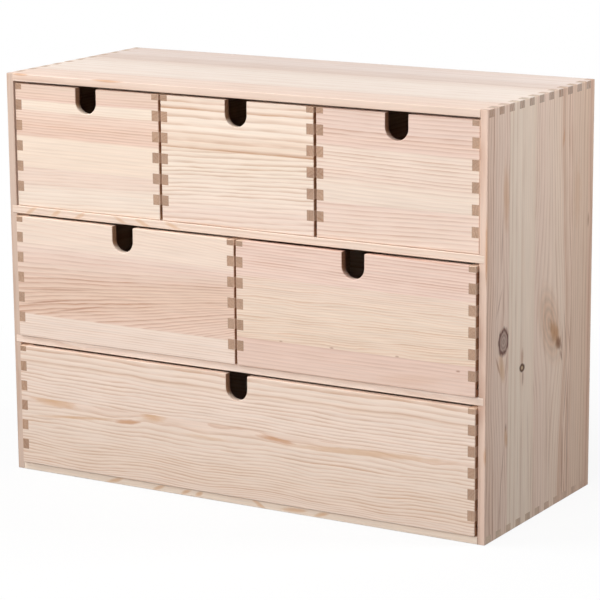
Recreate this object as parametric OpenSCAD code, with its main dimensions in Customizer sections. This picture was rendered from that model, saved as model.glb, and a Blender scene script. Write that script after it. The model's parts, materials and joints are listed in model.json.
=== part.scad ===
// Desktop chest of six mini drawers in untreated pine.
// The case is a finger-jointed box with two housed shelves and a grooved-in back panel.
// Each drawer is a finger-jointed box with a grooved-in floor and a finger notch in its front.
// Millimetres. X runs to the right, the front faces -Y, and Z = 0 is the face the case stands on.

/* [Case] */
// Outside width of the case
case_w = 420; // [300:1:600]
// Outside depth of the case, from its front edge to its back edge
case_d = 180; // [140:1:300]
// Outside height of the case
case_h = 320; // [240:1:480]
// Thickness of the top, bottom and side boards
case_t = 6; // [5:0.5:12]
// Thickness of the two shelves
shelf_t = 6; // [4:0.5:12]
// Depth of the housings in the sides that take the shelves' ends
housing_d = 4; // [2:0.5:4]

/* [Case corner joints] */
// Width of one finger of the top and bottom boards
case_finger_w = 8.15; // [5:0.05:14]
// From the front edge to the first of these fingers
case_finger_lead = 2; // [2:0.5:8]

/* [Back panel] */
// Thickness of the back panel
back_t = 3; // [2:0.5:5]
// Depth of the grooves that take the back panel's edges
back_groove_d = 3; // [2:0.5:4]
// From the back edge of the case to the back panel
back_inset = 6; // [3:0.5:12]

/* [Drawers] */
// Thickness of a drawer's front, back and sides
drawer_t = 6; // [5:0.5:10]
// Gap under a drawer, above the board that it slides on
floor_gap = 0.3; // [0.2:0.05:0.6]
// Gap over a drawer, below the next board up
head_gap = 1.8; // [0.8:0.1:3]
// Gap between a drawer and a side of the case
side_gap = 0.9; // [0.4:0.1:2]
// Gap between two drawers in one row
between_gap = 2.2; // [0.8:0.1:4]
// How far a drawer's face lies behind the front edge of the case when it is pushed home
home_depth = 2; // [0:0.1:6]
// Gap between the back panel and a drawer that is pushed home
back_gap = 0.3; // [0.2:0.05:1]

/* [Drawer corner joints] */
// Width of one finger of a drawer's sides
drawer_finger_w = 8.05; // [5:0.05:14]
// Height of the plain wood of the front below its lowest finger
drawer_finger_lead = 11.5; // [9:0.5:20]

/* [Finger notches] */
// Width of the notch in a drawer's front
notch_w = 19; // [14:0.5:30]
// Depth of the notch, from the upper edge of the front to its lowest point
notch_d = 20; // [16:0.5:32]

/* [Drawer floors] */
// Thickness of a drawer's floor
floor_t = 3; // [2:0.5:5]
// Depth of the grooves that take the floor's edges
floor_groove_d = 3; // [2:0.5:4]
// From a drawer's lower edge to the underside of its floor
floor_lift = 5.5; // [3:0.5:8]

/* [How far each drawer is pulled out from home] */
// Upper left drawer
upper_left_pull = 0.6; // [0:0.1:100]
// Upper middle drawer
upper_middle_pull = 0.7; // [0:0.1:100]
// Upper right drawer
upper_right_pull = 0.5; // [0:0.1:100]
// Middle left drawer
middle_left_pull = 4.2; // [0:0.1:100]
// Middle right drawer
middle_right_pull = 4.8; // [0:0.1:100]
// Lower drawer
lower_pull = 4.5; // [0:0.1:100]

/* [Hidden] */
// A finger narrower than this is left out, or joined to its neighbour
least_finger = 2;
// Cuts run this far past the face they open, so that none ends on it
past = 1;
$fn = 64;

front_y = -case_d / 2;
inner_w = case_w - 2 * case_t;
back_panel_y = case_d / 2 - back_inset - back_t;

// Three rows of drawers, from the top down, each named from left to right
ROWS = [
    ["upper_left", "upper_middle", "upper_right"],
    ["middle_left", "middle_right"],
    ["lower"]
];
PULLS = [
    [upper_left_pull, upper_middle_pull, upper_right_pull],
    [middle_left_pull, middle_right_pull],
    [lower_pull]
];
PIECES = ["front", "back", "left_side", "right_side", "floor"];

row_count = len(ROWS);
opening_h = (case_h - 2 * case_t - (row_count - 1) * shelf_t) / row_count;
drawer_h = opening_h - floor_gap - head_gap;
drawer_d = back_panel_y - front_y - home_depth - back_gap;

// Height of the board face that the drawers of a row slide on
function opening_z(row) = case_h - case_t - (row + 1) * opening_h - row * shelf_t;

function drawer_w(row) =
    (inner_w - 2 * side_gap - (len(ROWS[row]) - 1) * between_gap) / len(ROWS[row]);

// Lower front left corner of a drawer
function drawer_corner(row, col) = [
    -inner_w / 2 + side_gap + col * (drawer_w(row) + between_gap),
    front_y + home_depth - PULLS[row][col],
    opening_z(row) + floor_gap
];

function node_name(row, col, piece) = str(ROWS[row][col], "_drawer_", piece);

// Fingers of the top and bottom boards: how many, and where one starts behind the front edge
case_finger_count =
    floor((case_d - case_finger_lead - case_finger_w - least_finger) / (2 * case_finger_w)) + 1;
function case_finger_at(i) = case_finger_lead + 2 * i * case_finger_w;

// Fingers of a drawer's sides: how many, and where one starts and ends above the lower edge
drawer_finger_count =
    floor((drawer_h - drawer_finger_lead - least_finger) / (2 * drawer_finger_w)) + 1;
function drawer_finger_at(i) = drawer_finger_lead + 2 * i * drawer_finger_w;
function drawer_finger_end(i) =
    let (end = drawer_finger_at(i) + drawer_finger_w)
    drawer_h - end < least_finger ? drawer_h : end;

// A block between two opposite corners
module block(low, high) {
    translate(low) cube(high - low);
}

// The space that the back panel fills, which the boards round it are grooved for
module back_panel_space() {
    block(
        [-inner_w / 2 - back_groove_d, back_panel_y, case_t - back_groove_d],
        [inner_w / 2 + back_groove_d, back_panel_y + back_t, case_h - case_t + back_groove_d]
    );
}

// Every finger of the top and bottom boards at one end, as long as the sides are thick
module case_fingers(low_x) {
    for (i = [0 : case_finger_count - 1])
        translate([low_x, front_y + case_finger_at(i), 0])
            cube([case_t, case_finger_w, case_t]);
}

// A board across the case with its fingers through both sides, standing at Z = 0
module cross_board() {
    translate([-inner_w / 2, front_y, 0]) cube([inner_w, case_d, case_t]);
    case_fingers(-case_w / 2);
    case_fingers(inner_w / 2);
}

module top_board() {
    color("#f0ddcb")
    difference() {
        translate([0, 0, case_h - case_t]) cross_board();
        back_panel_space();
    }
}

module bottom_board() {
    color("#e2c6ae")
    difference() {
        cross_board();
        back_panel_space();
    }
}

// The ends of a shelf fill their housings and its back edge meets the back panel
module shelf_space(row) {
    block(
        [-inner_w / 2 - housing_d, front_y, opening_z(row) - shelf_t],
        [inner_w / 2 + housing_d, back_panel_y, opening_z(row)]
    );
}

module shelf(row) {
    color("#ead0b9") shelf_space(row);
}

// One side of the case, from its outer face to its inner face
module case_side(low_x) {
    color("#d3b59e")
    difference() {
        translate([low_x, front_y, 0]) cube([case_t, case_d, case_h]);
        case_fingers(low_x);
        translate([0, 0, case_h - case_t]) case_fingers(low_x);
        for (row = [0 : row_count - 2])
            shelf_space(row);
        back_panel_space();
    }
}

module back_panel() {
    color("#dcc39c") back_panel_space();
}

// A drawer's pieces are drawn with its lower front left corner at the origin.

// The slots for the sides' fingers at one end of a front or a back
module drawer_finger_slots(low_x) {
    for (i = [0 : drawer_finger_count - 1])
        block(
            [low_x, -past, drawer_finger_at(i)],
            [
                low_x + drawer_t,
                drawer_t + past,
                drawer_finger_end(i) + (drawer_finger_end(i) == drawer_h ? past : 0)
            ]
        );
}

// The space that a drawer's floor fills
module floor_space(w) {
    edge = drawer_t - floor_groove_d;
    block([edge, edge, floor_lift], [w - edge, drawer_d - edge, floor_lift + floor_t]);
}

// A board as long as the drawer is wide, finger slots at both ends, its inner face to +Y.
// Its floor groove is cut right through, so its ends show in the drawer's sides.
module drawer_end_board(w) {
    difference() {
        cube([w, drawer_t, drawer_h]);
        drawer_finger_slots(0);
        drawer_finger_slots(w - drawer_t);
        block(
            [-past, drawer_t - floor_groove_d, floor_lift],
            [w + past, drawer_t + past, floor_lift + floor_t]
        );
    }
}

// The notch is a slot with a round end, open at the upper edge
module notch(w) {
    r = notch_w / 2;
    translate([w / 2, -past, drawer_h - notch_d + r])
        rotate([-90, 0, 0])
            cylinder(r = r, h = drawer_t + 2 * past);
    block(
        [w / 2 - r, -past, drawer_h - notch_d + r],
        [w / 2 + r, drawer_t + past, drawer_h + past]
    );
}

module drawer_front(w) {
    color("#efd8c4")
    difference() {
        drawer_end_board(w);
        notch(w);
    }
}

module drawer_back(w) {
    color("#e4cab2")
    translate([0, drawer_d, 0])
        mirror([0, 1, 0])
            drawer_end_board(w);
}

// A side runs between the front and the back, and its fingers reach through both
module drawer_side() {
    color("#dcbfa6")
    difference() {
        union() {
            block([0, drawer_t, 0], [drawer_t, drawer_d - drawer_t, drawer_h]);
            for (i = [0 : drawer_finger_count - 1])
                block(
                    [0, 0, drawer_finger_at(i)],
                    [drawer_t, drawer_d, drawer_finger_end(i)]
                );
        }
        block(
            [drawer_t - floor_groove_d, -past, floor_lift],
            [drawer_t + past, drawer_d + past, floor_lift + floor_t]
        );
    }
}

module drawer_floor(w) {
    color("#dcc39c") floor_space(w);
}

module drawer_piece(piece, w) {
    if (piece == "front") drawer_front(w);
    if (piece == "back") drawer_back(w);
    if (piece == "left_side") drawer_side();
    if (piece == "right_side") translate([w, 0, 0]) mirror([1, 0, 0]) drawer_side();
    if (piece == "floor") drawer_floor(w);
}

top_board();
bottom_board();
case_side(-case_w / 2);  // left_side
case_side(inner_w / 2);  // right_side
shelf(0);  // upper_shelf
shelf(1);  // lower_shelf
back_panel();

for (row = [0 : row_count - 1], col = [0 : len(ROWS[row]) - 1], piece = PIECES)
    translate(drawer_corner(row, col)) drawer_piece(piece, drawer_w(row));
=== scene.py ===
"""Desktop chest of six mini drawers in untreated pine, dressed for its final picture.

The boards are the frame's own, with their free arrises eased. Each board's material is solid pine, with
growth rings that run through it, so that its faces, edges and end grain agree.
Lengths are in millimetres here, and MM turns them into the scene's metres.
"""
import json
import math
import random

import bmesh
import bpy
from mathutils import Matrix, Vector
from mathutils.bvhtree import BVHTree


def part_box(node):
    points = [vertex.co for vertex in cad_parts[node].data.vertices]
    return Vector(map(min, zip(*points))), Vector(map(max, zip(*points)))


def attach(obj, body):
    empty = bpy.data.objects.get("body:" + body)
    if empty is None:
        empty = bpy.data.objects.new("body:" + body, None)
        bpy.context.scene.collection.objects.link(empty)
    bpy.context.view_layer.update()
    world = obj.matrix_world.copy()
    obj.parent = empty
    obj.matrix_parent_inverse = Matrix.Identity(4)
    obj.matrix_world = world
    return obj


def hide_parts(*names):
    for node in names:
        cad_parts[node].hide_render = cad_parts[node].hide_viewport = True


MM = 0.001

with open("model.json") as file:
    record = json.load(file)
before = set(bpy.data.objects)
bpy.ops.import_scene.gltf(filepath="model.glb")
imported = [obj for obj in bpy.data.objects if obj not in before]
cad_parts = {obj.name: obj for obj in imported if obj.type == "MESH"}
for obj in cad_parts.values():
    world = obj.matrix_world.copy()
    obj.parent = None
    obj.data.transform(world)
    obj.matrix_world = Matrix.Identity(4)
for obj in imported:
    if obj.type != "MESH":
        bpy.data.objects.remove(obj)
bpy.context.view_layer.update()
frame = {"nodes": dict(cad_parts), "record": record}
scene = bpy.context.scene


# ---------------------------------------------------------------- camera

# Where the photograph was taken from. Degrees round from the front, above the horizon and tipped sideways
CAMERA_AZIMUTH = 30.778
CAMERA_ELEVATION = 12.561
CAMERA_ROLL = -0.437
CAMERA_PLACE = Vector((1041.7, -1746.1, 596.3))
SENSOR_WIDTH = 36.0
# The focal length that the photograph's corners give, in pixels of its 600
FOCAL_PIXELS = 2657
PHOTO_PIXELS = 600
# Nearest and farthest that the camera sees, in metres
CLIP_START, CLIP_END = 0.05, 50


def make_camera():
    """The camera that took the photograph."""
    az, el, roll = (math.radians(a) for a in (CAMERA_AZIMUTH, CAMERA_ELEVATION, CAMERA_ROLL))
    back = Vector((math.sin(az) * math.cos(el), -math.cos(az) * math.cos(el), math.sin(el)))
    level = (-back).cross(Vector((0, 0, 1))).normalized()
    upright = level.cross(-back)
    right = math.cos(roll) * level + math.sin(roll) * upright
    up = -math.sin(roll) * level + math.cos(roll) * upright
    data = bpy.data.cameras.new("camera")
    data.sensor_width = SENSOR_WIDTH
    data.lens = SENSOR_WIDTH * FOCAL_PIXELS / PHOTO_PIXELS
    data.clip_start, data.clip_end = CLIP_START, CLIP_END
    camera = bpy.data.objects.new("camera", data)
    turn = Matrix((right, up, back)).transposed().to_4x4()
    camera.matrix_world = Matrix.Translation(CAMERA_PLACE * MM) @ turn
    scene.collection.objects.link(camera)
    scene.camera = camera


make_camera()


# ---------------------------------------------------------------- nodes and colours

def linear(hex_colour):
    """An sRGB hex colour as linear red, green, blue and alpha."""
    parts = [int(hex_colour[i : i + 2], 16) / 255 for i in (1, 3, 5)]
    return [c / 12.92 if c <= 0.04045 else ((c + 0.055) / 1.055) ** 2.4 for c in parts] + [1.0]


def add(tree, kind, links=None, stops=None, **settings):
    """Adds a node. Links fills its inputs, by name or number, from a value, a socket or a node."""
    made = tree.nodes.new(kind)
    for name, value in settings.items():
        setattr(made, name, value)
    for key, value in (links or {}).items():
        if isinstance(value, bpy.types.Node):
            value = value.outputs[0]
        if isinstance(value, bpy.types.NodeSocket):
            tree.links.new(value, made.inputs[key])
        else:
            made.inputs[key].default_value = value
    if stops:
        elements = made.color_ramp.elements
        while len(elements) < len(stops):
            elements.new(1.0)
        for element, (place, colour) in zip(elements, stops):
            element.position = place
            element.color = colour
    return made


# ---------------------------------------------------------------- wood

AXES = "XYZ"

# Across one growth ring, from the pith outwards: pale early wood darkens to late wood, then ends sharply
RING_PROFILE = [(0.0, 0.0), (0.4, 0.14), (0.7, 0.62), (0.86, 1.0), (0.95, 0.75), (1.0, 0.0)]

# Noise mostly stays within a quarter of its middle, so that much of it swings by about one each way
NOISE_GAIN = 4
# How far apart the noises of two seeds lie, and what a stave's further noises add to its seed
SEED_STEP = Vector((7.31, 3.17, 5.71))
PATCH_SEED, HEAVE_SEED = 20, 40
# How often noise changes along U, V and W, per millimetre
RIPPLE_SCALE = (1 / 22, 1 / 5, 1 / 5)
PATCH_SCALE = (1 / 35, 1 / 6, 1 / 6)
FIBRE_SCALE = (1 / 40, 1 / 1.3, 1 / 1.3)
MARK_EDGE_SCALE = (0.12, 0.4, 0.4)
# The values that noise of each kind mostly lies between
PATCH_SPAN, FIBRE_SPAN, PORE_SPAN, BLOTCH_SPAN = (0.3, 0.6), (0.3, 0.7), (0.35, 0.65), (0.3, 0.7)
# How many times as often waves change across the grain as along it
WAVE_ACROSS, HEAVE_ACROSS = 2.2, 2.5
# Good and bad years drift the rings by up to this many, and change this often for each ring
YEAR_DRIFT, YEAR_CHANGE = 2.4, 0.13
# What the faintest year keeps of its line, and the faintest stretch of any line
FAINT_YEAR, FAINT_STRETCH = 0.4, 0.45

# A mark goes right through its board where its own depth isn't given
THROUGH = 10000
# A mark's stops may run on past its edge, up to here
MARK_REACH = 1.25
# How uneven a knot's own rings are, as a share of its edge's unevenness, and how dark they draw
KNOT_UNEVEN, KNOT_LINE = 0.3, 0.62

# Cut fibre ends: how often pores and blotches change in a millimetre, and from how dark to how pale
PORE_SCALE, BLOTCH_SCALE = 1.6, 0.07
PORE_SHADES, BLOTCH_SHADES = (0.9, 1.08), (0.92, 1.08)
# A face is end grain, partly or wholly, from where its normal has this much of the grain's direction
END_START, END_FULL = 0.75, 0.95
# Roughness of early and of late wood
EARLY_ROUGH, LATE_ROUGH = 0.62, 0.5
# How far late wood stands out of a sanded face, and how much of that shows
PROUD, BUMP = 0.06, 0.4
WOOD_IOR = 1.45
# What end grain multiplies a board's colour by, where nothing else is given
PLAIN_END = "#cdc5bb"


class Mark:
    """A knot, a streak of resin or a pointed figure in a stave.

    place, size    its centre and half-lengths along U, V and, unless it goes right through, W
    stops          (how far out, colour, opacity), where 1 is its edge
    turn, tilt     degrees it is turned in the board's face, and in depth
    rings          how many of its own years show
    swerve, bend   how far the grain is pushed aside round it, and over what lengths
    ragged         unevenness of its edge
    """

    def __init__(self, place, size, stops, turn=0, tilt=0, rings=0, swerve=0.0, bend=(40, 14), ragged=0.2):
        self.place = Vector(place).to_3d()
        self.size = Vector(tuple(size) + (THROUGH,) * (3 - len(size)))
        self.turn = (0, math.radians(tilt), math.radians(turn))
        self.stops, self.rings, self.ragged = stops, rings, ragged
        self.swerve, self.bend = swerve, bend


def faint(colour, opacity):
    """Stops of a mark without an outline: strongest in its middle and gone at its edge."""
    return [(0.0, colour, opacity), (0.5, colour, 0.75 * opacity), (1.0, colour, 0.0)]


class Stave:
    """One stick of pine in a board, edge-glued to the next. U runs along its grain, V across, W inwards.

    low, high    its edges across the board
    pith         where the middle of its tree lay: V, and W outside the board's face
    ring         thickness of one year's growth
    bands        (V, colour, strength): tints across it, and how dark its late wood is there
    late         what late wood multiplies the tint by
    lean, bow    how much its rings climb along the grain: evenly, and as the square, per metre
    fan          how much more they lean for each millimetre further across
    middle       the U and V at which lean holds and the rings' places are given
    wave         how far the rings wander across the grain, and over what length
    heave        the same in depth, which draws pointed figures where the rings lie flat
    ripple       the unevenness of each line
    fibre        contrast of the fine streaks along the grain
    marks        its knots, streaks and figures
    seed         which noise its grain follows
    """

    def __init__(self, low, high, pith, ring, bands, late="#d8bda6", lean=0.0, bow=0.0, fan=0.0,
                 middle=(0, 0), wave=(1.5, 120), heave=(0.0, 60), ripple=1.2, fibre=0.05,
                 marks=(), seed=0):
        self.low, self.high, self.pith, self.ring = low, high, pith, ring
        self.bands, self.late = bands, late
        self.lean, self.bow, self.fan, self.middle = lean, bow, fan, middle
        self.wave, self.heave, self.ripple, self.fibre = wave, heave, ripple, fibre
        self.marks, self.seed = marks, seed


def swerve_round(tree, uvw, mark):
    """The wood's own place of each point: the grain is pushed apart where a branch grew."""
    off = add(tree, "ShaderNodeVectorMath", {0: uvw, 1: mark.place}, operation="SUBTRACT")
    reach = (1 / mark.bend[0], 1 / mark.bend[1], 0)
    scaled = add(tree, "ShaderNodeVectorMath", {0: off, 1: reach}, operation="MULTIPLY")
    square = add(tree, "ShaderNodeVectorMath", {0: scaled, 1: scaled}, operation="DOT_PRODUCT")
    falling = add(tree, "ShaderNodeMath", {0: square.outputs["Value"], 1: -1}, operation="MULTIPLY")
    # This is 1 at the mark's centre, and fades over its bend
    near = add(tree, "ShaderNodeMath", {0: falling}, operation="EXPONENT")
    push = add(tree, "ShaderNodeVectorMath", {0: off, 1: (0, mark.swerve, 0)}, operation="MULTIPLY")
    shift = add(tree, "ShaderNodeVectorMath", {0: push, "Scale": near}, operation="SCALE")
    return add(tree, "ShaderNodeVectorMath", {0: uvw, 1: shift}, operation="SUBTRACT").outputs[0]


def lay_mark(tree, uvw, wood, mark):
    """Lays a mark's colours over the wood, by how far a point is from its centre."""
    within = add(tree, "ShaderNodeMapping", {0: uvw, "Location": mark.place, "Rotation": mark.turn,
                                             "Scale": mark.size}, vector_type="TEXTURE")
    far = add(tree, "ShaderNodeVectorMath", {0: within}, operation="LENGTH")
    rough_at = add(tree, "ShaderNodeMapping", {0: uvw, "Scale": MARK_EDGE_SCALE})
    rough = add(tree, "ShaderNodeTexNoise", {"Vector": rough_at, "Scale": 1.0, "Detail": 3.0})
    ragged = add(tree, "ShaderNodeMath", {0: rough, 1: 2 * mark.ragged, 2: -mark.ragged},
                 operation="MULTIPLY_ADD")
    edge = add(tree, "ShaderNodeMath", {0: far.outputs["Value"], 1: ragged}, operation="ADD")
    stops = [(place / MARK_REACH, linear(colour)[:3] + [alpha]) for place, colour, alpha in mark.stops]
    reach = add(tree, "ShaderNodeMath", {0: edge, 1: 1 / MARK_REACH}, operation="MULTIPLY")
    shade = add(tree, "ShaderNodeValToRGB", {0: reach}, stops=stops)
    colour = shade.outputs["Color"]
    if mark.rings:
        even = add(tree, "ShaderNodeMath", {0: far.outputs["Value"], 1: mark.rings}, operation="MULTIPLY")
        turns = add(tree, "ShaderNodeMath", {0: ragged, 1: KNOT_UNEVEN * mark.rings, 2: even},
                    operation="MULTIPLY_ADD")
        wave = add(tree, "ShaderNodeMath", {0: turns, 1: 1.0}, operation="PINGPONG")
        dim = add(tree, "ShaderNodeMapRange", {"Value": wave, "To Min": 1.0, "To Max": KNOT_LINE})
        dimmed = add(tree, "ShaderNodeVectorMath", {0: colour, "Scale": dim}, operation="SCALE")
        colour = dimmed.outputs[0]
    laid = add(tree, "ShaderNodeMix", {0: shade.outputs["Alpha"], 6: wood, 7: colour}, data_type="RGBA")
    return laid.outputs[2]


def grown_noise(tree, uvw, seed, scale, detail=2.0):
    """Soft noise stretched along the grain; scale gives how often it changes along U, V and W."""
    at = add(tree, "ShaderNodeMapping", {0: uvw, "Location": SEED_STEP * seed, "Scale": scale})
    return add(tree, "ShaderNodeTexNoise", {"Vector": at, "Scale": 1.0, "Detail": detail}).outputs[0]


def ring_level(tree, uvw, stave):
    """How far across its tree each point grew: V, less the rings' lean, waves and ripples there."""
    height, length = stave.wave
    mid_u, mid_v = stave.middle
    place = add(tree, "ShaderNodeSeparateXYZ", {0: uvw})
    across = WAVE_ACROSS / length
    slow = grown_noise(tree, uvw, stave.seed, (1 / length, across, across), 1.5)
    fine = grown_noise(tree, uvw, stave.seed, RIPPLE_SCALE)
    wander = add(tree, "ShaderNodeMath", {0: slow, 1: NOISE_GAIN * height, 2: place.outputs["Y"]},
                 operation="MULTIPLY_ADD")
    ripple = add(tree, "ShaderNodeMath", {0: fine, 1: stave.ripple, 2: wander}, operation="MULTIPLY_ADD")
    half = (NOISE_GAIN * height + stave.ripple) / 2
    centred = add(tree, "ShaderNodeMath", {0: ripple, 1: half}, operation="SUBTRACT")
    along = add(tree, "ShaderNodeMath", {0: place.outputs["X"], 1: mid_u}, operation="SUBTRACT")
    aside = add(tree, "ShaderNodeMath", {0: place.outputs["Y"], 1: mid_v}, operation="SUBTRACT")
    fanned = add(tree, "ShaderNodeMath", {0: aside, 1: stave.fan, 2: stave.lean},
                 operation="MULTIPLY_ADD")
    slope = add(tree, "ShaderNodeMath", {0: along, 1: stave.bow * MM, 2: fanned},
                operation="MULTIPLY_ADD")
    rise = add(tree, "ShaderNodeMath", {0: slope, 1: along}, operation="MULTIPLY")
    if stave.fan:
        # This keeps the fanned lines straight
        spread = add(tree, "ShaderNodeMath", {0: along, 1: stave.fan, 2: 1.0}, operation="MULTIPLY_ADD")
        rise = add(tree, "ShaderNodeMath", {0: rise, 1: spread}, operation="DIVIDE")
    return add(tree, "ShaderNodeMath", {0: centred, 1: rise}, operation="SUBTRACT")


def ring_count(tree, own, level, stave):
    """How many years lie between the pith and each point, by its distance from the pith."""
    pith_v, pith_w = stave.pith
    height, length = stave.heave
    depth = add(tree, "ShaderNodeSeparateXYZ", {0: own}).outputs["Z"]
    if height:
        across = HEAVE_ACROSS / length
        swell = grown_noise(tree, own, stave.seed + HEAVE_SEED, (1 / length, across, across))
        depth = add(tree, "ShaderNodeMath", {0: swell, 1: NOISE_GAIN * height, 2: depth},
                    operation="MULTIPLY_ADD")
    inward = add(tree, "ShaderNodeMath", {0: depth, 1: pith_w - NOISE_GAIN * height / 2}, operation="ADD")
    aside = add(tree, "ShaderNodeMath", {0: level, 1: pith_v}, operation="SUBTRACT")
    spoke = add(tree, "ShaderNodeCombineXYZ", {0: aside, 1: inward})
    radius = add(tree, "ShaderNodeVectorMath", {0: spoke}, operation="LENGTH").outputs["Value"]
    years = add(tree, "ShaderNodeTexNoise", {"W": radius, "Scale": YEAR_CHANGE / stave.ring, "Detail": 1.0},
                noise_dimensions="1D")
    even = add(tree, "ShaderNodeMath", {0: radius, 1: 1 / stave.ring, 2: stave.seed},
               operation="MULTIPLY_ADD")
    return add(tree, "ShaderNodeMath", {0: years, 1: YEAR_DRIFT, 2: even}, operation="MULTIPLY_ADD")


def stave_wood(tree, uvw, stave):
    """The colour of one stave, and how much of each point is late wood."""
    own = uvw
    for mark in stave.marks:
        if mark.swerve:
            own = swerve_round(tree, own, mark)
    level = ring_level(tree, own, stave)
    count = ring_count(tree, own, level, stave)
    ring = add(tree, "ShaderNodeMath", {0: count}, operation="FRACT")
    line = add(tree, "ShaderNodeValToRGB", {0: ring},
               stops=[(at, (value, value, value, 1.0)) for at, value in RING_PROFILE])
    year = add(tree, "ShaderNodeMath", {0: count}, operation="FLOOR")
    chance = add(tree, "ShaderNodeTexWhiteNoise", {"W": year}, noise_dimensions="1D")
    harsh = add(tree, "ShaderNodeMapRange", {"Value": chance, "To Min": FAINT_YEAR, "To Max": 1.0})
    # Bands of warmer and paler wood lie along the rings
    span = stave.high - stave.low
    share = add(tree, "ShaderNodeMapRange",
                {"Value": level, "From Min": stave.low, "From Max": stave.high})
    stops = [((at - stave.low) / span, linear(colour)[:3] + [strength])
             for at, colour, strength in stave.bands]
    tint = add(tree, "ShaderNodeValToRGB", {0: share}, stops=stops)
    drawn = add(tree, "ShaderNodeMath", {0: line, 1: harsh}, operation="MULTIPLY")
    banded = add(tree, "ShaderNodeMath", {0: drawn, 1: tint.outputs["Alpha"]}, operation="MULTIPLY")
    # Each line comes and goes along the grain
    patchy = grown_noise(tree, own, stave.seed + PATCH_SEED, PATCH_SCALE)
    kept = add(tree, "ShaderNodeMapRange", {"Value": patchy, "From Min": PATCH_SPAN[0],
                                            "From Max": PATCH_SPAN[1], "To Min": FAINT_STRETCH,
                                            "To Max": 1.0})
    late = add(tree, "ShaderNodeMath", {0: banded, 1: kept}, operation="MULTIPLY")
    tinted = add(tree, "ShaderNodeMix", {0: late, 6: tint.outputs["Color"], 7: linear(stave.late)},
                 data_type="RGBA", blend_type="MULTIPLY")
    # Fibres, as fine streaks along the grain
    fibres = grown_noise(tree, uvw, stave.seed, FIBRE_SCALE, 3.0)
    shade = add(tree, "ShaderNodeMapRange", {"Value": fibres, "From Min": FIBRE_SPAN[0],
                                             "From Max": FIBRE_SPAN[1], "To Min": 1 - stave.fibre,
                                             "To Max": 1 + stave.fibre})
    streaked = add(tree, "ShaderNodeVectorMath", {0: tinted.outputs[2], "Scale": shade}, operation="SCALE")
    wood = streaked.outputs[0]
    for mark in stave.marks:
        wood = lay_mark(tree, uvw, wood, mark)
    return wood, late.outputs[0]


def end_grain(tree, in_mm, end):
    """What cut fibre ends multiply the wood's colour by: speckled with pores, and a little uneven."""
    pores = add(tree, "ShaderNodeTexNoise", {"Vector": in_mm, "Scale": PORE_SCALE, "Detail": 2.0})
    speckle = add(tree, "ShaderNodeMapRange", {"Value": pores, "From Min": PORE_SPAN[0],
                                               "From Max": PORE_SPAN[1], "To Min": PORE_SHADES[0],
                                               "To Max": PORE_SHADES[1]})
    blotch = add(tree, "ShaderNodeTexNoise", {"Vector": in_mm, "Scale": BLOTCH_SCALE, "Detail": 0.0})
    uneven = add(tree, "ShaderNodeMapRange", {"Value": blotch, "From Min": BLOTCH_SPAN[0],
                                              "From Max": BLOTCH_SPAN[1], "To Min": BLOTCH_SHADES[0],
                                              "To Max": BLOTCH_SHADES[1]})
    both = add(tree, "ShaderNodeMath", {0: speckle, 1: uneven}, operation="MULTIPLY")
    return add(tree, "ShaderNodeVectorMath", {0: linear(end)[:3], "Scale": both}, operation="SCALE")


def solid_wood(name, grain, across, face, staves, end=PLAIN_END):
    """Untreated sanded wood: matt and pale, with late-wood lines along the grain and darker end grain.

    grain, across   the axes of U and V
    face            where the face is that V and the pith are measured on, along the third axis
    end             what end grain multiplies the wood's colour by
    """
    material = bpy.data.materials.new(name)
    material.use_nodes = True
    tree = material.node_tree
    tree.nodes.clear()
    coords = add(tree, "ShaderNodeTexCoord")
    in_mm = add(tree, "ShaderNodeVectorMath", {0: coords.outputs["Object"], "Scale": 1 / MM},
                operation="SCALE")
    xyz = add(tree, "ShaderNodeSeparateXYZ", {0: in_mm})
    through = (set(AXES) - {grain, across}).pop()
    inward = add(tree, "ShaderNodeMath", {0: xyz.outputs[through], 1: face}, operation="SUBTRACT")
    inward = add(tree, "ShaderNodeMath", {0: inward}, operation="ABSOLUTE")
    uvw = add(tree, "ShaderNodeCombineXYZ", {"X": xyz.outputs[grain], "Y": xyz.outputs[across],
                                             "Z": inward}).outputs[0]
    wood, late = stave_wood(tree, uvw, staves[0])
    for stave in staves[1:]:
        other_wood, other_late = stave_wood(tree, uvw, stave)
        above = add(tree, "ShaderNodeMath", {0: xyz.outputs[across], 1: stave.low},
                    operation="GREATER_THAN")
        joined = add(tree, "ShaderNodeMix", {0: above, 6: wood, 7: other_wood}, data_type="RGBA")
        wood = joined.outputs[2]
        late = add(tree, "ShaderNodeMix", {0: above, 2: late, 3: other_late}).outputs[0]
    # Cut fibre ends soak up the light. Boards lie square to the axes, so their normals tell where those are
    normal = add(tree, "ShaderNodeSeparateXYZ", {0: coords.outputs["Normal"]})
    facing = add(tree, "ShaderNodeMath", {0: normal.outputs[grain]}, operation="ABSOLUTE")
    is_end = add(tree, "ShaderNodeMapRange",
                 {"Value": facing, "From Min": END_START, "From Max": END_FULL})
    colour = add(tree, "ShaderNodeMix", {0: is_end, 6: wood, 7: end_grain(tree, in_mm, end)},
                 data_type="RGBA", blend_type="MULTIPLY")
    # Late wood stands a little proud of the sanded face, and shines a little more
    rough = add(tree, "ShaderNodeMapRange", {"Value": late, "To Min": EARLY_ROUGH, "To Max": LATE_ROUGH})
    bump = add(tree, "ShaderNodeBump", {"Height": late, "Strength": BUMP, "Distance": PROUD * MM})
    shader = add(tree, "ShaderNodeBsdfPrincipled", {"Base Color": colour.outputs[2], "Roughness": rough,
                                                    "Normal": bump, "IOR": WOOD_IOR})
    add(tree, "ShaderNodeOutputMaterial", {"Surface": shader})
    return material


# Colours that plain staves come in
PLAIN_TINTS = ("#f3ddcc", "#f1d7c8", "#f5e2d0", "#edd2c0")
# Drawer sides come darker and warmer than plain staves: painted shade for the narrow gaps between drawers
SHADED_DRAWER_SIDE_TINTS = ("#ecceb5", "#e9cab2", "#eed2bb")


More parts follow.
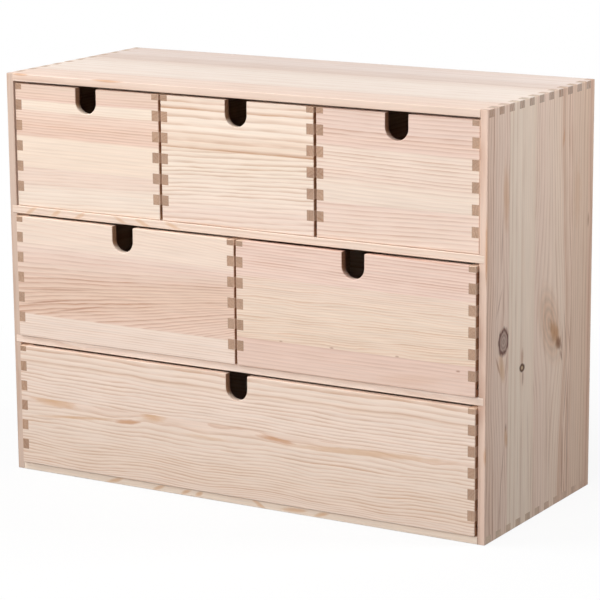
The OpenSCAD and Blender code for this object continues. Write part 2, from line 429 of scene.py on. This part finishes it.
def stock(low, high, seed, sticks=2, tints=PLAIN_TINTS):
    """Staves as they come, for boards that the photograph doesn't show."""
    draw = random.Random(seed)
    cuts = [low] + sorted(low + (high - low) * (i + draw.uniform(-0.2, 0.2)) / sticks
                          for i in range(1, sticks)) + [high]
    staves = []
    for i in range(sticks):
        tint, other = draw.choice(tints), draw.choice(tints)
        strength = draw.uniform(0.25, 0.8)
        span = cuts[i + 1] - cuts[i]
        staves.append(Stave(
            cuts[i], cuts[i + 1], pith=(cuts[i] + span * draw.uniform(-1, 2), draw.uniform(8, 30)),
            ring=draw.uniform(1.8, 3.2), lean=draw.uniform(-0.03, 0.03), seed=seed * 10 + i,
            bands=[(cuts[i], tint, strength), (cuts[i] + span * 0.5, other, strength * 0.7),
                   (cuts[i + 1], tint, strength)]))
    return staves


# Colours of fine streaks of resin, dark and light
RUST, RESIN = "#a0684f", "#d39a68"
# What end grain multiplies the colour of a drawer's back, or of its sides, and of each case board by. The
# sides' tints are darker and warmer, as painted shade for the gaps between drawers, so their end grain is
# greyer.
DRAWER_END, SIDE_END = "#c8a990", "#ccc0b9"
CASE_ENDS = {"top_board": "#d5c8bf", "bottom_board": "#e4ddd5", "left_side": "#dbd5cd",
             "right_side": "#dbd5cd", "upper_shelf": PLAIN_END, "lower_shelf": PLAIN_END}

FRONT_STAVES = {
    "upper_left": [
        Stave(215, 247, (330, 20), 2.6, lean=0.04, wave=(1.2, 150), seed=1,
              bands=[(215, "#f7e3d2", 0.6), (234, "#f9e7d7", 0.5), (238, "#f7e3d3", 0.5),
                     (240, "#f5dece", 0.5), (247, "#f5ddcd", 0.45)]),
        Stave(247, 320, (235, 14), 2.1, wave=(0.8, 160), seed=2,
              bands=[(247, "#f7e1ce", 0.2), (270, "#f9e4d1", 0.2), (272.5, "#f1d2c0", 0.95),
                     (283, "#f4d6c4", 0.95), (291, "#f5dbca", 0.75), (293, "#f9e6d4", 0.35),
                     (299.5, "#f9e6d4", 0.35), (301, "#eecfbf", 0.8), (303.5, "#f1d4c2", 0.5),
                     (313, "#efd4c2", 0.6)]),
    ],
    "upper_middle": [
        Stave(215, 273, (345, 30), 3.3, lean=0.042, wave=(1.4, 110), ripple=1.6, late="#cba88e", seed=3,
              bands=[(215, "#f9e4d5", 0.75), (226, "#f7e0d1", 0.75), (234, "#fbe7d7", 0.8),
                     (246, "#fdebdb", 0.85), (254, "#f9e6d5", 0.9), (262, "#fdecdb", 1.0),
                     (273, "#fae7d5", 1.0)]),
        Stave(273, 320, (345, 30), 4.6, wave=(1.0, 120), ripple=1.7, late="#c9a385", seed=13,
              bands=[(273, "#ddb697", 0.9), (274.2, "#f7e1cd", 1.0), (283, "#f9e3d0", 1.0),
                     (288, "#feecdb", 1.0), (306, "#fce9d8", 1.0), (313, "#f8e1cf", 0.9)]),
    ],
    "upper_right": [
        Stave(215, 243, (160, 20), 3.3, lean=0.03, wave=(0.9, 150), late="#cfac96", seed=24,
              bands=[(215, "#f7dfcf", 0.75), (239, "#f5dccd", 0.8), (243, "#f5e0d1", 0.3)]),
        Stave(243, 320, (190, 20), 2.8, lean=-0.008, bow=0.12, middle=(140, 0), wave=(0.9, 170),
              late="#cfac96", seed=4,
              bands=[(243, "#f4e0d0", 0.3), (255, "#f7e3d2", 0.35), (262, "#f6dfcf", 0.8),
                     (274, "#f8e3d3", 0.85), (283.5, "#f6e1d1", 0.75), (285, "#f1d5c6", 1.0),
                     (291, "#f2d6c6", 1.0), (298, "#f1d7c9", 0.7), (313, "#f0d4c5", 0.7)]),
    ],
    "middle_left": [
        Stave(108, 129.6, (60, 12), 2.0, wave=(0.6, 160), seed=5,
              bands=[(108, "#f8e2d3", 0.6), (129.6, "#f9e4d5", 0.6)]),
        Stave(129.6, 215, (60, 18), 2.9, lean=0.11, fan=-0.0036, middle=(-100, 150), wave=(1.6, 170),
              ripple=1.5, late="#c99f86", seed=6,
              bands=[(129.6, "#f3d6c4", 0.85), (144, "#f0d2be", 1.0), (156, "#efd2be", 1.0),
                     (165, "#efd2c0", 0.85), (171, "#f2d8c7", 0.6), (176, "#f2d6c6", 0.6),
                     (183, "#f5dccd", 0.4), (187, "#f9e3d2", 0.25), (215, "#f9e2d0", 0.3)],
              marks=[Mark((-164, 151.8), (38, 0.9), faint("#b27c62", 0.6), turn=5),
                     Mark((-175, 141), (30, 1.0), faint("#b27c62", 0.65), turn=9.5),
                     Mark((-143, 145.5), (50, 0.8), faint("#b27c62", 0.5), turn=7.3),
                     Mark((-147, 138), (36, 0.9), faint("#b27c62", 0.6), turn=11)]),
    ],
    "middle_right": [
        Stave(108, 133.5, (60, 14), 3.0, wave=(0.7, 180), seed=7,
              bands=[(108, "#f0d3c3", 0.45), (133.5, "#f0d1c2", 0.5)],
              marks=[Mark((150, 118), (34, 5), faint("#dcb296", 0.3), turn=6),
                     Mark((189, 129), (2.2, 0.9), faint(RUST, 0.7))]),
        Stave(133.5, 181, (95, 22), 1.8, lean=0.02, fan=-0.0006, middle=(100, 165), wave=(1.0, 45),
              ripple=2.0, fibre=0.06, late="#d9b08a", seed=8,
              bands=[(133.5, "#f4dcc8", 0.75), (160, "#f6e0cd", 0.65), (181, "#f4dccb", 0.6)],
              marks=[Mark((84, 134), (2.2, 0.8), faint(RUST, 0.7)),
                     Mark((40, 134), (2.0, 0.8), faint(RUST, 0.6)),
                     Mark((139, 134), (2.0, 0.8), faint(RUST, 0.6))]),
        Stave(181, 215, (120, 12), 2.2, lean=-0.01, wave=(0.6, 180), late="#d3ae9b", seed=9,
              bands=[(181, "#f6dacb", 0.85), (215, "#f5d8c9", 0.9)]),
    ],
    "lower": [
        Stave(0, 61.7, (66, 20), 2.1, lean=0.008, wave=(3.0, 100), heave=(2.2, 80), ripple=1.5,
              late="#cfa67f", seed=10,
              bands=[(0, "#f2dbcb", 1.0), (20, "#f4decd", 0.95), (40, "#f6e1d1", 0.85),
                     (52, "#f7e2d2", 0.8), (61.7, "#f5dccb", 0.8)],
              marks=[Mark((-172, 60), (26, 4.5), faint("#dbab7e", 0.7), turn=-4, ragged=0.4),
                     Mark((-150, 50), (50, 1.5), faint("#d9a97c", 0.65), turn=4.8, ragged=0.4),
                     Mark((-101, 53), (14, 2.4), faint("#cc9163", 0.8), turn=5, ragged=0.4),
                     Mark((-76, 60), (13, 5), faint("#dbab7e", 0.7), ragged=0.4),
                     Mark((-28, 50), (26, 1.8), faint("#dbb088", 0.5), turn=-1, ragged=0.4),
                     Mark((34, 57), (20, 2.3), faint("#cc9163", 0.8), turn=-4, ragged=0.5),
                     Mark((110, 57), (80, 3), faint("#dbb088", 0.65), turn=2.5, ragged=0.4)]),
        Stave(61.7, 110, (112, 27), 2.2, wave=(2.4, 95), ripple=1.6, late="#cfaa89", seed=11,
              bands=[(61.7, "#f9e4d5", 0.85), (85, "#fae5d6", 0.85), (88.5, "#f8e2d2", 0.8),
                     (90, "#e9cbb5", 0.9), (91.2, "#f9e4d4", 0.8), (110, "#f9e3d3", 0.8)]),
    ],
}


def mm_box(node):
    """The low and high corners of a node's box, in millimetres."""
    low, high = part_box(node)
    return low / MM, high / MM


def front_pine(drawer, node):
    """The material of a drawer's front."""
    low, _ = mm_box(node)
    return solid_wood(drawer + "_front_pine", "X", "Z", low.y, FRONT_STAVES[drawer], DRAWER_END)


# A dead knot is greyish, with a ring of bark
KNOT = [(0.0, "#b59a8d", 0.95), (0.2, "#c3a89b", 0.95), (0.72, "#bb9f92", 0.95), (0.86, "#8b655c", 1.0),
        (0.97, "#7c574d", 0.95), (1.08, "#a98475", 0.5), (1.25, "#b08a78", 0.0)]
# A pin knot has a pale heart
PIN_KNOT = [(0.0, "#cdb795", 0.9), (0.3, "#b89c7a", 0.9), (0.6, "#634331", 1.0), (0.9, "#573a2b", 0.95),
            (1.25, "#96745f", 0.0)]

# The side's tints hold painted light besides the wood's colour: the front staves are made a little paler
# and the back stave darker, so the side darkens from front to back
SIDE_STAVES = [
    Stave(-90, -54, (-140, 14), 3.8, wave=(2.6, 90), late="#c09a83", seed=20,
          bands=[(-90, "#f1d3c0", 0.85), (-70, "#f6dccb", 0.8), (-54, "#f7ddcc", 0.6)],
          marks=[Mark((220, -89.5, 0), (32, 1.6, 2), faint(RESIN, 0.6)),
                 Mark((67, -89.5, 0), (9, 1.4, 2), faint(RESIN, 0.6)),
                 Mark((252, -59.5), (30, 5.2), faint("#d6a47c", 0.6), turn=-3, ragged=0.3),
                 Mark((218, -65.5), (26, 1.0), faint(RUST, 0.55), turn=2),
                 Mark((176, -69.5), (14, 1.2), faint(RUST, 0.4), turn=24),
                 Mark((175, -62.5), (15, 0.9), faint(RUST, 0.4)),
                 Mark((127, -64.5), (13, 5.5), faint("#d9ae82", 0.6), turn=-18, ragged=0.4),
                 Mark((130, -70.5), (11, 1.5), faint("#b07a5a", 0.65), turn=-27),
                 Mark((128, -57.5), (12, 1.3), faint(RUST, 0.45), turn=10),
                 Mark((81, -57), (4, 1.6), faint("#8b604c", 0.6)),
                 Mark((73, -56.5), (9, 3.3), faint("#d2a277", 0.65), turn=-8, ragged=0.3),
                 Mark((50, -62.6), (26, 0.9), faint(RUST, 0.6), turn=8.5),
                 Mark((18, -66.2), (22, 0.9), faint(RUST, 0.5), turn=4),
                 Mark((146.8, -61.8), (9.5, 7.9), KNOT, rings=6, swerve=0.8, bend=(50, 17), ragged=0.35)]),
    Stave(-54, -11, (-20, 70), 2.4, wave=(0.8, 180), late="#cbab95", seed=21,
          bands=[(-54, "#f9e5d3", 0.6), (-30, "#fae6d4", 0.6), (-11, "#f7e1ce", 0.7)],
          marks=[Mark((128, -30.8), (9, 2.6), faint("#b07a5e", 0.6), ragged=0.3),
                 Mark((113, -29.5), (8, 1.8), faint("#a36c52", 0.6), ragged=0.3),
                 Mark((55, -37), (48, 0.7), faint(RUST, 0.25)),
                 Mark((42, -31), (58, 0.8), faint(RUST, 0.35)),
                 Mark((50, -19), (55, 0.9), faint(RUST, 0.4), turn=-2),
                 Mark((36, -14), (44, 1.0), faint(RUST, 0.3)),
                 Mark((120.7, -30.8), (3.0, 4.0), PIN_KNOT, turn=8, swerve=0.6, bend=(20, 7), ragged=0.2)]),
    Stave(-11, 53, (90, 30), 3.7, wave=(2.4, 100), late="#c09980", seed=22,
          bands=[(-11, "#f6ddcb", 0.7), (0, "#f6dccb", 0.5), (25, "#f6decb", 0.45), (33, "#f3d9c6", 0.9),
                 (34.5, "#d9b49c", 0.9), (36, "#f2d7c4", 0.85), (38, "#d9b8a2", 0.8),
                 (39.5, "#f2d7c4", 0.85), (53, "#f0d4c1", 0.9)],
          marks=[Mark((282.5, 36.5), (9, 2.2), faint("#c98c60", 0.5), turn=8, ragged=0.3),
                 Mark((144, 16), (40, 20), faint("#e0b494", 0.6), turn=-25, rings=9, swerve=0.75,
                      bend=(68, 34)),
                 Mark((135, 25), (17, 7.5), faint("#b98456", 0.75), turn=-36, ragged=0.5),
                 Mark((126, 31.5), (8, 4.8), faint("#7c5038", 0.85), turn=-38, ragged=0.5),
                 Mark((116, 36.5), (6, 1.8), faint("#8f5e4b", 0.6), turn=-25, ragged=0.4),
                 Mark((48, 12.5), (52, 0.8), faint(RUST, 0.5)),
                 Mark((60, 17.5), (42, 0.7), faint(RUST, 0.4), turn=2),
                 Mark((124, 38), (17, 1.2), faint(RUST, 0.5)),
                 Mark((132, 43.5), (24, 1.0), faint("#8f5e4b", 0.5), turn=-9),
                 Mark((84, 45), (28, 1.0), faint("#8f5e4b", 0.5), turn=7.5),
                 Mark((28, 40.5), (38, 2.4), faint("#a87054", 0.6)),
                 Mark((128, 50), (14, 0.9), faint(RUST, 0.45), turn=-9),
                 Mark((48, 49), (62, 1.2), faint("#8f5e4b", 0.55), turn=1)]),
    Stave(53, 90, (100, 30), 3.0, wave=(1.6, 120), late="#c6a48c", seed=23,
          # These darker tints are partly painted shade for the back of the side
          bands=[(53, "#e9cdb9", 0.65), (80, "#e8ccb7", 0.6), (84.5, "#dfbca8", 0.65),
                 (90, "#e5c7b2", 0.65)],
          marks=[Mark((236, 62), (30, 7), faint("#d3a680", 0.3), ragged=0.8),
                 Mark((213, 82), (7, 2.2), faint("#a07760", 0.6), swerve=0.5, bend=(18, 6), ragged=0.4)]),
]

# Only the front edge of this side shows in the photograph's view
LEFT_STAVES = [
    Stave(-90, -40, (-150, 16), 3.0, wave=(1.0, 140), seed=38,
          bands=[(-90, "#d9bfae", 0.6), (-84, "#eed4c3", 0.5), (-40, "#f3dccb", 0.4)]),
] + stock(-40, 90, 31, 3)

TOP_STAVES = [
    Stave(-90, -56, (-150, 20), 3.0, wave=(1.2, 200), seed=30,
          bands=[(-90, "#efd6c5", 0.7), (-88.5, "#f6decf", 1.0), (-56, "#f6e1d3", 1.0)],
          marks=[Mark((-197, -90, 0), (9, 4, 2), faint(RESIN, 0.7)),
                 Mark((-115, -90, 0), (17, 4, 2), faint(RESIN, 0.7))]),
    Stave(-56, 24, (-120, 30), 3.4, wave=(1.4, 220), seed=31,
          bands=[(-56, "#f2dfd3", 0.9), (-48, "#f9ebe0", 0.8), (0, "#f8eadf", 0.8), (24, "#f0dfd4", 0.9)]),
    Stave(24, 90, (150, 30), 3.0, wave=(1.6, 160), seed=32,
          bands=[(24, "#e9d7cc", 1.0), (46, "#e8d6cc", 1.0), (54, "#efe0d8", 0.9), (84, "#f0dfd6", 0.9),
                 (90, "#e7d4c9", 0.8)]),
]


def curls(places, colour):
    """Orange curls in the front edge of a board, where its rings turn: (U, half-length, tilt)."""
    return [Mark((u, -90, 3), (reach, 5, 2), faint(colour, 0.65), tilt=tilt, ragged=0.4)
            for u, reach, tilt in places]


BOTTOM_STAVES = [
    Stave(-90, 0, (-80, 8), 2.2, wave=(1.2, 120), heave=(0.8, 40), seed=33,
          # Its front edge is tinted paler than the rest of the stave: painted light that offsets the shadow
          # the proud drawer above casts on it
          bands=[(-90, "#ffead7", 0.4), (-80, "#f8e2d0", 0.4), (0, "#f3dccb", 0.5)],
          marks=curls([(-115.5, 11, -18), (-74, 7, -24), (-49, 7, -26), (-37, 5, -26), (17.5, 8, 26),
                       (49, 14, -4), (73, 8, -18)], "#dca673")),
    Stave(0, 90, (120, 20), 2.8, seed=34, bands=[(0, "#f1d7c8", 0.5), (90, "#efd4c5", 0.5)]),
]

UPPER_SHELF_STAVES = [
    Stave(-90, 0, (-84, 9), 2.3, wave=(1.2, 120), heave=(0.8, 45), seed=35,
          bands=[(-90, "#f3dccb", 0.5), (0, "#f3dccb", 0.5)],
          marks=curls([(-190, 7, -30), (-166, 6, -28), (-143, 7, -28), (-105, 7, 24), (-85, 8, 20),
                       (-57, 9, 16)], "#dcb088")),
    Stave(0, 90, (120, 20), 2.8, seed=36, bands=[(0, "#f1d7c8", 0.5), (90, "#f3dccb", 0.5)]),
]

LOWER_SHELF_STAVES = [
    Stave(-90, -30, (-150, 12), 2.4, seed=39,
          # Its front edge is tinted paler than the rest of the stave: painted light that offsets the shadow
          # the proud drawers above cast on it
          bands=[(-90, "#ffe9da", 0.45), (-80, "#f8e0d0", 0.45), (-30, "#f3dccb", 0.5)]),
] + stock(-30, 90, 37, 2)

CASE_STAVES = {
    "right_side": SIDE_STAVES,
    "top_board": TOP_STAVES,
    "bottom_board": BOTTOM_STAVES,
    "upper_shelf": UPPER_SHELF_STAVES,
    "lower_shelf": LOWER_SHELF_STAVES,
    "left_side": LEFT_STAVES,
}


def case_pine(node):
    """The material of a board of the case, measured from the face that shows most."""
    low, high = mm_box(node)
    staves, end = CASE_STAVES[node], CASE_ENDS[node]
    if node in ("left_side", "right_side"):
        return solid_wood(node + "_pine", "Z", "Y", low.x if node == "left_side" else high.x, staves, end)
    return solid_wood(node + "_pine", "X", "Y", high.z if node == "top_board" else low.z, staves, end)


def drawer_pine(node, seed):
    """The material of a drawer's side or back."""
    low, high = mm_box(node)
    if node.endswith("_back"):
        return solid_wood(node + "_pine", "X", "Z", high.y, stock(low.z, high.z, seed), DRAWER_END)
    # The sides take darker, warmer tints, as painted shade for the gaps between drawers
    staves = stock(low.z, high.z, seed, tints=SHADED_DRAWER_SIDE_TINTS)
    return solid_wood(node + "_pine", "Y", "Z", high.x, staves, SIDE_END)


# Seeds of the drawers' sides and backs are counted on from here
DRAWER_SEED = 100


def plywood(name, across, face):
    """Thin birch plywood. Its peeled face lies along the rings, so its grain is faint and wide."""
    veneer = Stave(-200, 400, (100, 160), 2.5, bands=[(-200, "#f0dcc5", 0.3), (400, "#eed9c1", 0.3)],
                   late="#d3b48f", wave=(4, 200), heave=(2.5, 150), seed=77)
    return solid_wood(name, "X", across, face, [veneer])


def materials_of(nodes):
    """Each board's own material. The drawers' floors are cut from one sheet."""
    found = {}
    floors = plywood("floor_plywood", "Y", 0)
    for seed, node in enumerate(nodes):
        drawer, _, piece = node.partition("_drawer_")
        if node == "back_panel":
            found[node] = plywood("back_plywood", "Z", 0)
        elif not piece:
            found[node] = case_pine(node)
        elif piece == "front":
            found[node] = front_pine(drawer, node)
        elif piece == "floor":
            found[node] = floors
        else:
            found[node] = drawer_pine(node, seed + DRAWER_SEED)
    return found


woods = materials_of(frame["nodes"])


# ---------------------------------------------------------------- eased boards

# How much of each free arris is rounded away, in how many facets
EASE = 0.5
EASE_STEPS = 2
# Corners closer than this are one corner, and boards closer than this touch
MERGE = 0.001
TOUCH = 0.05
# Faces that turn less than FLAT are one face, and those that turn more than SHARP meet in an arris
FLAT = math.radians(1)
SHARP = math.radians(30)
# Faces that look straight along an axis are flat, and the others are shaded smooth
STRAIGHT = 0.9999


def board_mesh(node):
    """The node's own triangles, joined up and with their flat faces whole."""
    mesh = bmesh.new()
    mesh.from_mesh(frame["nodes"][node].data)
    bmesh.ops.remove_doubles(mesh, verts=mesh.verts, dist=MERGE * MM)
    bmesh.ops.dissolve_limit(mesh, angle_limit=FLAT, verts=mesh.verts, edges=mesh.edges)
    return mesh


def free_arrises(mesh, neighbours):
    """The sharp edges that no other board meets at their middle."""
    found = []
    for edge in mesh.edges:
        if len(edge.link_faces) != 2 or edge.calc_face_angle() < SHARP:
            continue
        middle = (edge.verts[0].co + edge.verts[1].co) / 2
        if neighbours.find_nearest(middle, TOUCH * MM)[0] is None:
            found.append(edge)
    return found


def surfaces_of(nodes):
    """A search tree over the surfaces of several nodes."""
    verts, faces = [], []
    for node in nodes:
        data = frame["nodes"][node].data
        first = len(verts)
        verts.extend(v.co.copy() for v in data.vertices)
        faces.extend([first + i for i in p.vertices] for p in data.polygons)
    return BVHTree.FromPolygons(verts, faces)


def ease(node, siblings):
    """A board with its free arrises rounded over, as sanding leaves them."""
    mesh = board_mesh(node)
    edges = free_arrises(mesh, surfaces_of([n for n in siblings if n != node]))
    bmesh.ops.bevel(mesh, geom=edges, offset=EASE * MM, segments=EASE_STEPS, profile=0.5, affect="EDGES")
    for face in mesh.faces:
        face.smooth = max(abs(c) for c in face.normal) < STRAIGHT
    data = bpy.data.meshes.new(node + "_eased")
    mesh.to_mesh(data)
    mesh.free()
    piece = bpy.data.objects.new(node + "_eased", data)
    scene.collection.objects.link(piece)
    return piece


for body, nodes in frame["record"]["behaviour"]["bodies"].items():
    for node in nodes:
        piece = ease(node, nodes)
        piece.data.materials.append(woods[node])
        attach(piece, body)
        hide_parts(node)


# ---------------------------------------------------------------- stage and light

# How far the floor goes on from the chest's middle
FLOOR_REACH = 12000
# How pale the floor is to the camera, and to the light, so that it hardly lights the chest from below
SEEN_FLOOR, LIT_FLOOR = 0.88, 0.1
# Near the chest, the camera sees this share of plain white in the floor, which makes its shadow faint
GLOW = 0.88
# From this far to this far from the chest's middle, in metres, the floor fades to nothing but that white
FADE_START, FADE_END = 0.22, 0.6


def make_floor():
    """A plain floor. The camera sees it nearly white, with a faint shadow by the chest."""
    mesh = bmesh.new()
    bmesh.ops.create_grid(mesh, x_segments=1, y_segments=1, size=FLOOR_REACH * MM)
    data = bpy.data.meshes.new("floor")
    mesh.to_mesh(data)
    mesh.free()
    floor = bpy.data.objects.new("floor", data)
    scene.collection.objects.link(floor)
    material = bpy.data.materials.new("pale_floor")
    material.use_nodes = True
    tree = material.node_tree
    tree.nodes.clear()
    path = add(tree, "ShaderNodeLightPath")
    seen = path.outputs["Is Camera Ray"]
    shade = add(tree, "ShaderNodeMapRange", {"Value": seen, "To Min": LIT_FLOOR, "To Max": SEEN_FLOOR})
    pale = add(tree, "ShaderNodeBsdfDiffuse", {"Color": shade})
    white = add(tree, "ShaderNodeEmission", {"Color": linear("#ffffff"), "Strength": 1.0})
    coords = add(tree, "ShaderNodeTexCoord")
    far = add(tree, "ShaderNodeVectorMath", {0: coords.outputs["Object"]}, operation="LENGTH")
    fade = add(tree, "ShaderNodeMapRange", {"Value": far.outputs["Value"], "From Min": FADE_START,
                                            "From Max": FADE_END, "To Min": GLOW, "To Max": 1.0})
    lit = add(tree, "ShaderNodeMath", {0: seen, 1: fade}, operation="MULTIPLY")
    mix = add(tree, "ShaderNodeMixShader", {0: lit, 1: pale, 2: white})
    add(tree, "ShaderNodeOutputMaterial", {"Surface": mix})
    data.materials.append(material)


# How much light reaches the chest from all round
AMBIENT = 0.1


def make_world():
    """A white backdrop, which lights the chest only a little."""
    world = bpy.data.worlds.new("studio")
    scene.world = world
    world.use_nodes = True
    tree = world.node_tree
    tree.nodes.clear()
    path = add(tree, "ShaderNodeLightPath")
    seen = add(tree, "ShaderNodeMath", {0: path.outputs["Is Camera Ray"], 1: path.outputs["Is Glossy Ray"]},
               operation="MAXIMUM")
    seen = add(tree, "ShaderNodeMath", {0: seen, 1: path.outputs["Is Transmission Ray"]},
               operation="MAXIMUM")
    strength = add(tree, "ShaderNodeMapRange", {"Value": seen, "To Min": AMBIENT, "To Max": 1.0})
    sky = add(tree, "ShaderNodeBackground", {"Color": linear("#ffffff"), "Strength": strength})
    add(tree, "ShaderNodeOutputWorld", {"Surface": sky})


# The middle of the chest, which every lamp faces
AIM = Vector((0, 0, 160)) * MM
# Square lamps: name, place, width of the square and power in watts
LAMPS = [
    ("key", (200, -1700, 700), 900, 20.7),
    ("top_light", (-850, -600, 1300), 800, 15.3),
    ("fill", (1000, 400, 760), 350, 7.2),
    ("rear", (-400, 2200, 700), 900, 4),
]


def softbox(name, place, size, power):
    """A square lamp over or beside the chest."""
    data = bpy.data.lights.new(name, "AREA")
    data.shape = "SQUARE"
    data.size = size * MM
    data.energy = power
    lamp = bpy.data.objects.new(name, data)
    lamp.location = Vector(place) * MM
    lamp.rotation_euler = (lamp.location - AIM).to_track_quat("Z", "Y").to_euler()
    scene.collection.objects.link(lamp)


make_floor()
make_world()
for lamp in LAMPS:
    softbox(*lamp)

scene.view_settings.view_transform = "Standard"
